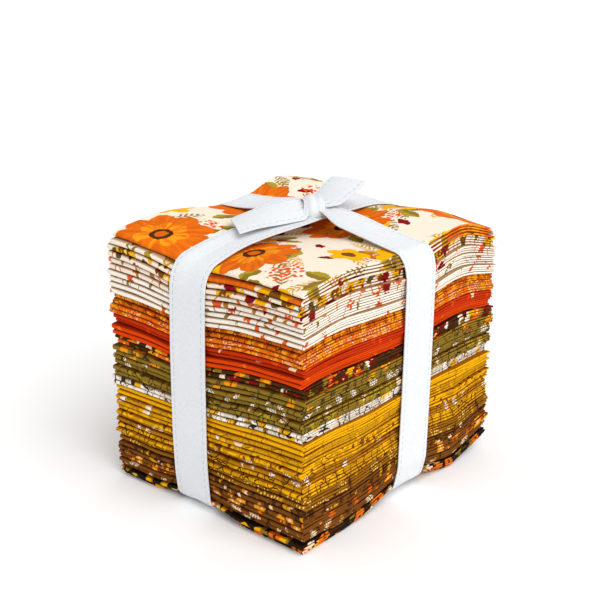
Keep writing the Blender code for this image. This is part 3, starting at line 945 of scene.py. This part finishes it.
@motif
def vines(cloth, seed, spacing, size, paint, share):
    # Thin curling lines, where a smooth noise passes its middle, broken by a wider noise
    moved = cloth.vector("ADD", (seed * 31.0, seed * 17.0, 0.0))
    line = size / 2 - abs(noise(moved, spacing, 0.0) - 0.5) * spacing
    whole = (share - noise(moved, spacing * 1.7, 0.0)) * 12.0
    return [(cover(line, 0.12) * whole.math("MULTIPLY", 1.0, clamp=True), dye(paint))]


@motif
def crackle(cloth, seed, spacing, size, paint, jitter=1.0):
    # The edges between the cells round scattered points
    shift = (seed * 3.1, seed * 1.7)
    edge, place = cells(cloth, spacing, shift, jitter, "DISTANCE_TO_EDGE", "Distance")
    return [(cover(size / 2 - edge * spacing, 0.12), dye(paint))]


@motif
def cluster(cloth, seed, spacing, size, paint, berry, pitch, share):
    # Small berries wherever they fall inside a larger round patch
    patch = scatter(cloth, spacing, seed)
    spot = scatter(cloth, pitch, seed + 3)
    within = patch["far"].math("LESS_THAN", size) * kept(patch, share)
    return [(cover(berry - spot["far"]) * within, dye(paint))]


@motif
def nested(cloth, seed, spacing, size, paint, petals, width, pitch):
    # Outlines inside one another, each in the shape of a flower
    spot = scatter(cloth, spacing, seed, 0.5)
    edge, angle = petalEdge(spot, size, petals, 0.25)
    line = width / 2 - abs((edge / pitch).math("FRACT") - 0.5) * pitch
    return [(cover(line, 0.15) * cover(edge), dye(paint))]


# name: its ground, how wavy its drawing is, and its motifs, each painted over the last. A motif
# takes its spacing and size in mm, its colour, and what else it needs.
prints = {
    "cream_bouquet": ("cream", 0.9,
        sprigs(29, 23, "mustard", width=0.15, pitch=2.6),
        sprigs(27, 19, "olive", pitch=3.0, share=0.7),
        leaves(26, 15, "olive", pair=True, light="lime", share=0.9),
        leaves(21, 9.5, "burgundy", share=0.6),
        cluster(37, 8.5, "coral", berry=1.0, pitch=2.6, share=0.6),
        bloom(38, 11.5, "gold", depth=0.34, eye="brown", share=0.75),
        rosette(61, 20.5, "orange", shade="rust", light="amber", eye="umber")),
    "cream_garden": ("cream", 0.6,
        vines(7, 0.5, "rust", share=0.62),
        leaves(8.5, 6.0, "moss", width=0.3, share=0.8),
        bloom(10, 3.8, "gold", eye="brown", share=0.9),
        bloom(13, 3.4, "brown", petals=4, eye="butter", share=0.8),
        bloom(15, 3.4, "burgundy", share=0.8)),
    "cream_vine": ("cream", 0.6,
        vines(8, 0.6, "rust", share=0.65),
        leaves(9, 5.0, "tan", share=0.8),
        bloom(11, 2.8, "coral", share=0.8),
        bloom(14, 2.6, "burgundy", share=0.7)),
    "cream_posy": ("ivory", 0.4,
        vines(11, 0.4, "tan", share=0.5),
        leaves(11.5, 4.2, "olive", pair=True, share=0.8),
        bloom(11, 2.6, "coral", depth=0.5, eye="brown", share=0.85)),
    "cream_ditsy": ("ivory", 0.3,
        sprigs(9.5, 3.6, "lime", share=0.6),
        bloom(8.5, 1.4, "coral", share=0.6)),
    "rust_crackle": ("rust", 0.9,
        bloom(6, 2.6, "amber", depth=0.5, share=0.8),
        crackle(4.4, 0.5, "umber")),
    "orange_scallop": ("orange", 0.4,
        bloom(5.5, 2.2, "amber", share=0.8),
        nested(8, 3.9, "shell", petals=7, width=0.5, pitch=1.7),
        crackle(6, 0.42, "brick", jitter=0.6)),
    "red_leaf": ("brick", 0.4,
        leaves(8, 3.6, "tomato", width=0.3, share=0.9),
        leaves(17, 8.0, "shell", share=0.8)),
    "tomato_plain": ("tomato", 0.3,
        leaves(9, 4.2, "orange", share=0.35)),
    "dark_garden": ("umber", 0.6,
        leaves(8, 5.2, "olive", width=0.34),
        leaves(14, 8.4, "ivory", width=0.24, light="shell", share=0.7),
        bloom(10, 3.2, "burgundy", eye="butter", share=0.8),
        bloom(11, 3.4, "orange", eye="butter", share=0.85),
        bloom(14, 2.8, "gold", share=0.75)),
    "olive_bloom": ("olive", 0.5,
        leaves(8, 5.0, "moss", share=0.85),
        leaves(12, 5.6, "mustard", width=0.26, share=0.6),
        bloom(12, 3.4, "amber", petals=6, eye="rust", share=0.75),
        bloom(15, 3.2, "tomato", eye="butter", share=0.75),
        vines(7, 0.5, "umber", share=0.6)),
    "olive_sprig": ("olive", 0.4,
        leaves(7, 4.6, "moss", share=0.8),
        vines(8, 0.4, "umber", share=0.6),
        sprigs(7.5, 7.0, "ivory", width=0.24, pitch=1.5, share=0.9)),
    "olive_crackle": ("olive", 0.8,
        bloom(7, 3.0, "lime", share=0.7),
        leaves(9, 4.4, "moss", share=0.5),
        bloom(12, 1.8, "shell", share=0.6),
        crackle(5.0, 0.55, "soot")),
    "grey_outline": ("grey", 0.5,
        bloom(8, 3.2, "ivory", share=0.9),
        leaves(8, 5.0, "bronze", share=0.7),
        bloom(9, 3.0, "gold", share=0.7),
        nested(12, 5.2, "umber", petals=5, width=0.5, pitch=2.8),
        vines(7, 0.5, "ink", share=0.7)),
    "yellow_plain": ("gold", 0.3,
        sprigs(8, 2.8, "bronze", share=0.6),
        vines(7, 0.3, "ochre", share=0.5)),
    "gold_foliage": ("mustard", 0.4,
        leaves(7, 4.4, "gold", share=0.8),
        crackle(6.5, 0.35, "brown"),
        leaves(17, 7.6, "ivory", width=0.24, light="shell", share=0.7)),
    "gold_blossom": ("mustard", 0.5,
        bloom(7, 3.6, "gold", petals=4, depth=0.3, eye="brown"),
        vines(7, 0.4, "brown", share=0.6),
        bloom(11, 1.5, "brown", share=0.6)),
    "tan_sprig": ("ochre", 0.4,
        leaves(7, 4.4, "bronze", share=0.8),
        vines(7, 0.4, "umber", share=0.6),
        sprigs(9.5, 6.8, "ivory", width=0.22, pitch=1.4, share=0.75)),
    "gold_crackle": ("mustard", 0.8,
        bloom(7, 3.2, "gold", share=0.7),
        crackle(4.8, 0.6, "umber")),
    "bronze_dot": ("bronze", 0.4,
        leaves(8, 5.0, "umber", share=0.75),
        leaves(9, 4.4, "mustard", share=0.6),
        cluster(8, 3.4, "butter", berry=0.5, pitch=1.6, share=0.8)),
    "umber_dense": ("brown", 0.5,
        bloom(4.4, 2.0, "umber", depth=0.5),
        leaves(6.0, 4.4, "mustard", share=0.75),
        bloom(8, 1.5, "shell", share=0.6)),
    "brown_bloom": ("brown", 0.5,
        leaves(7, 3.8, "umber", share=0.7),
        leaves(6.5, 5.0, "rust", share=0.8),
        bloom(8, 2.6, "amber", eye="shell", share=0.8)),
    "brown_sprig": ("brown", 0.4,
        leaves(6, 3.8, "umber", share=0.7),
        leaves(9, 4.0, "ochre", share=0.6),
        sprigs(8, 7.0, "shell", width=0.24, pitch=1.4, share=0.85)),
    "black_bouquet": ("soot", 0.6,
        leaves(10, 6.6, "olive", pair=True, share=0.8),
        leaves(11, 6.6, "gold", width=0.28, share=0.8),
        bloom(12, 3.4, "orange", eye="umber", share=0.8),
        bloom(15, 3.2, "shell", eye="coral", share=0.8)),
}
quilting = {
    "threadPitch": 0.42,
    "threadHeight": 0.02,
    "puckerSize": 5.0,
    "puckerHeight": 0.22,
    "wanderScale": 0.35,  # of the noise that makes the drawing wavy
    "unevenSize": 1.1,
    "paler": 0.90,  # the ground's other tone, as a share of its colour
    "mottleSize": 0.7,
    "mottle": 0.2,
    "roughness": 0.92,
    "roughnessSpread": 0.1,
    "specular": 0.05,
    # shade painted into the grooves between the layers: where it starts, how fast it deepens, and its
    # warm tint
    "grooveShadeStart": 0.55,  # how level a side is where the painted groove shade starts
    "grooveShadeGain": 2.2,
    "grooveShadeTint": (0.42, 0.26, 0.15),
}


def newMaterial(name):
    # The material, its shader and the piece's own cloth coordinates in mm
    material = bpy.data.materials.new(name)
    material.use_nodes = True
    tree = material.node_tree
    shader = tree.nodes["Principled BSDF"]
    place = tree.nodes.new("ShaderNodeUVMap")
    place.uv_map = "cloth"
    cloth = Signal(tree, place.outputs["UV"]).vector("SCALE", scale=1000.0)
    return material, shader, cloth


def connect(signal, shader, name):
    signal.tree.links.new(signal.socket, shader.inputs[name])


def relief(height, shader):
    # Bump from heights in mm
    sockets = {"Distance": mm, "Strength": 1.0, "Height": height}
    connect(height.make("ShaderNodeBump", {}, sockets), shader, "Normal")


def makePrint(slot, seed):
    ground, wave, *motifs = prints[slot]
    material, shader, cloth = newMaterial(slot)
    wander = noise(cloth, 1 / quilting["wanderScale"], result="Color")
    unmoved = cloth.vector("SUBTRACT", (wave, wave, 0.0))
    drawn = wander.vector("MULTIPLY_ADD", (wave * 2, wave * 2, 0.0), unmoved)
    uneven = noise(cloth, quilting["unevenSize"], 2.0)
    colour = blend(dye(ground, quilting["paler"]), dye(ground), uneven)
    for number, paintMotif in enumerate(motifs):
        for mask, tone in paintMotif(drawn, seed * 7 + number * 3 + 1):
            colour = blend(colour, tone, mask)
    mottle = quilting["mottle"]
    mottled = noise(cloth, quilting["mottleSize"]) * mottle + (1 - mottle / 2)
    colour = colour.vector("SCALE", scale=mottled)
    # Painted shade: the colour darkens towards a warm tint deep in the grooves between the layers,
    # standing in for shade and warm bounced light there
    depth = cloth.make("ShaderNodeAttribute", {"attribute_name": "grooveShade"}, {}, "Fac")
    grooveShaded = (depth - quilting["grooveShadeStart"]).math("MULTIPLY", quilting["grooveShadeGain"], clamp=True)
    colour = blend(colour, colour.vector("MULTIPLY", quilting["grooveShadeTint"]), grooveShaded)
    connect(colour, shader, "Base Color")
    pitch = 2 * math.pi / quilting["threadPitch"]
    u, v = cloth.split()
    weave = (u * pitch).math("SINE") * (v * pitch).math("SINE")
    pucker = noise(cloth, quilting["puckerSize"]) * quilting["puckerHeight"]
    relief(weave * quilting["threadHeight"] + pucker, shader)
    spread = quilting["roughnessSpread"]
    connect(uneven * spread + (quilting["roughness"] - spread / 2), shader, "Roughness")
    shader.inputs["Specular IOR Level"].default_value = quilting["specular"]
    return material


twill = {
    "ridgePitch": 0.75,
    "ridgeHeight": 0.03,
    "stitchPlace": 8.6,  # from the ribbon's middle line
    "stitchWidth": 0.45,
    "stitchPitch": 3.2,
    "stitchShare": 0.64,
    "stitchHeight": 0.08,
    "selvedge": 9.9,
    "selvedgeHeight": 0.05,
    "wrinkleSize": 7.0,
    "wrinkleHeight": 0.25,
    "unevenSize": 1.6,
    "ridgeTone": (0.07, 0.95),  # how much a ridge brightens the colour, and its mean
    "stitchTone": 0.85,
    "roughness": (0.12, 0.56),  # its spread and its least
    "sheen": 0.1,
}


def makeTwill():
    material, shader, cloth = newMaterial("ribbon")
    u, v = cloth.split()
    side = abs(u)
    dash = twill["stitchShare"] / 2 - abs((v / twill["stitchPitch"]).math("FRACT") - 0.5)
    line = twill["stitchWidth"] / 2 - abs(side - twill["stitchPlace"])
    stitch = cover(line, 0.12) * cover(dash, 0.06)
    uneven = noise(cloth, twill["unevenSize"], 2.0)
    ridge = ((u + v) * (2 * math.pi / twill["ridgePitch"])).math("SINE")
    colour = blend(dye("white"), dye("chalk"), uneven)
    colour = colour.vector("SCALE", scale=ridge * twill["ridgeTone"][0] + twill["ridgeTone"][1])
    colour = blend(colour, dye("sky"), stitch * twill["stitchTone"])
    connect(colour, shader, "Base Color")
    seam = cover(twill["stitchWidth"] - abs(side - twill["stitchPlace"]), 0.4)
    selvedge = cover(side - twill["selvedge"], 0.3)
    height = ridge * twill["ridgeHeight"] + (stitch - seam) * twill["stitchHeight"]
    height = height + selvedge * twill["selvedgeHeight"]
    relief(height + noise(cloth, twill["wrinkleSize"]) * twill["wrinkleHeight"], shader)
    connect(uneven * twill["roughness"][0] + twill["roughness"][1], shader, "Roughness")
    shader.inputs["Sheen Weight"].default_value = twill["sheen"]
    return material


def makeFloor():
    # A white sheet of paper, matt
    bpy.ops.mesh.primitive_plane_add(size=floorSetup["size"], location=(0, 0, 0))
    floor = bpy.context.object
    floor.name = "floor"
    material = bpy.data.materials.new("floor")
    material.use_nodes = True
    shader = material.node_tree.nodes["Principled BSDF"]
    for name, value in floorSetup["shader"].items():
        shader.inputs[name].default_value = value
    floor.data.materials.append(material)


makeCamera()
makeLights()
print("camera and lights are set")

sheets = planSheets()
cloud = np.concatenate([sheet["rings"].reshape(-1, 3) for sheet in sheets])
ribbonParts = makeRibbonParts(cloud)
lowestRibbon = min(grid[..., 2].min() for grid, along, closed in ribbonParts.values())
origin = bundleOrigin(sheets, lowestRibbon - ribbon["thickness"] / 2)
print("origin of the frame in the stack, in millimetres:", np.round(origin, 3))

fatQuarterPieces = []
for number, sheet in enumerate(sheets):
    rings = (sheet["rings"] - origin) * mm
    piece = meshFromRings(f"folded_{sheet['slot']}", rings, sheet["across"], sheet["along"], False,
                          sheet["edges"])
    # Marks where shade is painted into the grooves between the layers
    markGrooveShade(piece, sheet["layer"], number == 0, number == len(sheets) - 1)
    piece.data.materials.append(makePrint(sheet["slot"], number))
    fatQuarterPieces.append(piece)
print("fat quarters are folded and printed:", len(fatQuarterPieces))

strips = []
for name, (grid, along, closed) in ribbonParts.items():
    rings = (ribbonRings(grid, closed) - origin) * mm
    across = stripCoordinate(grid.shape[1], ribbon["width"])
    strips.append(meshFromRings(name, rings, across, along, closed))
ribbonPiece = joinPieces("tied_ribbon", strips)
ribbonPiece.data.materials.append(makeTwill())
print("the ribbon is tied")

makeFloor()
for number, piece in enumerate(fatQuarterPieces, start=1):
    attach(piece, "root")
    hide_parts(f"fat_quarter_{number:02d}")
    fatQuarters[number - 1][0]
    below = fatQuarterPieces[number].name if number < len(fatQuarterPieces) else "floor"
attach(ribbonPiece, "root")
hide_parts("ribbon")
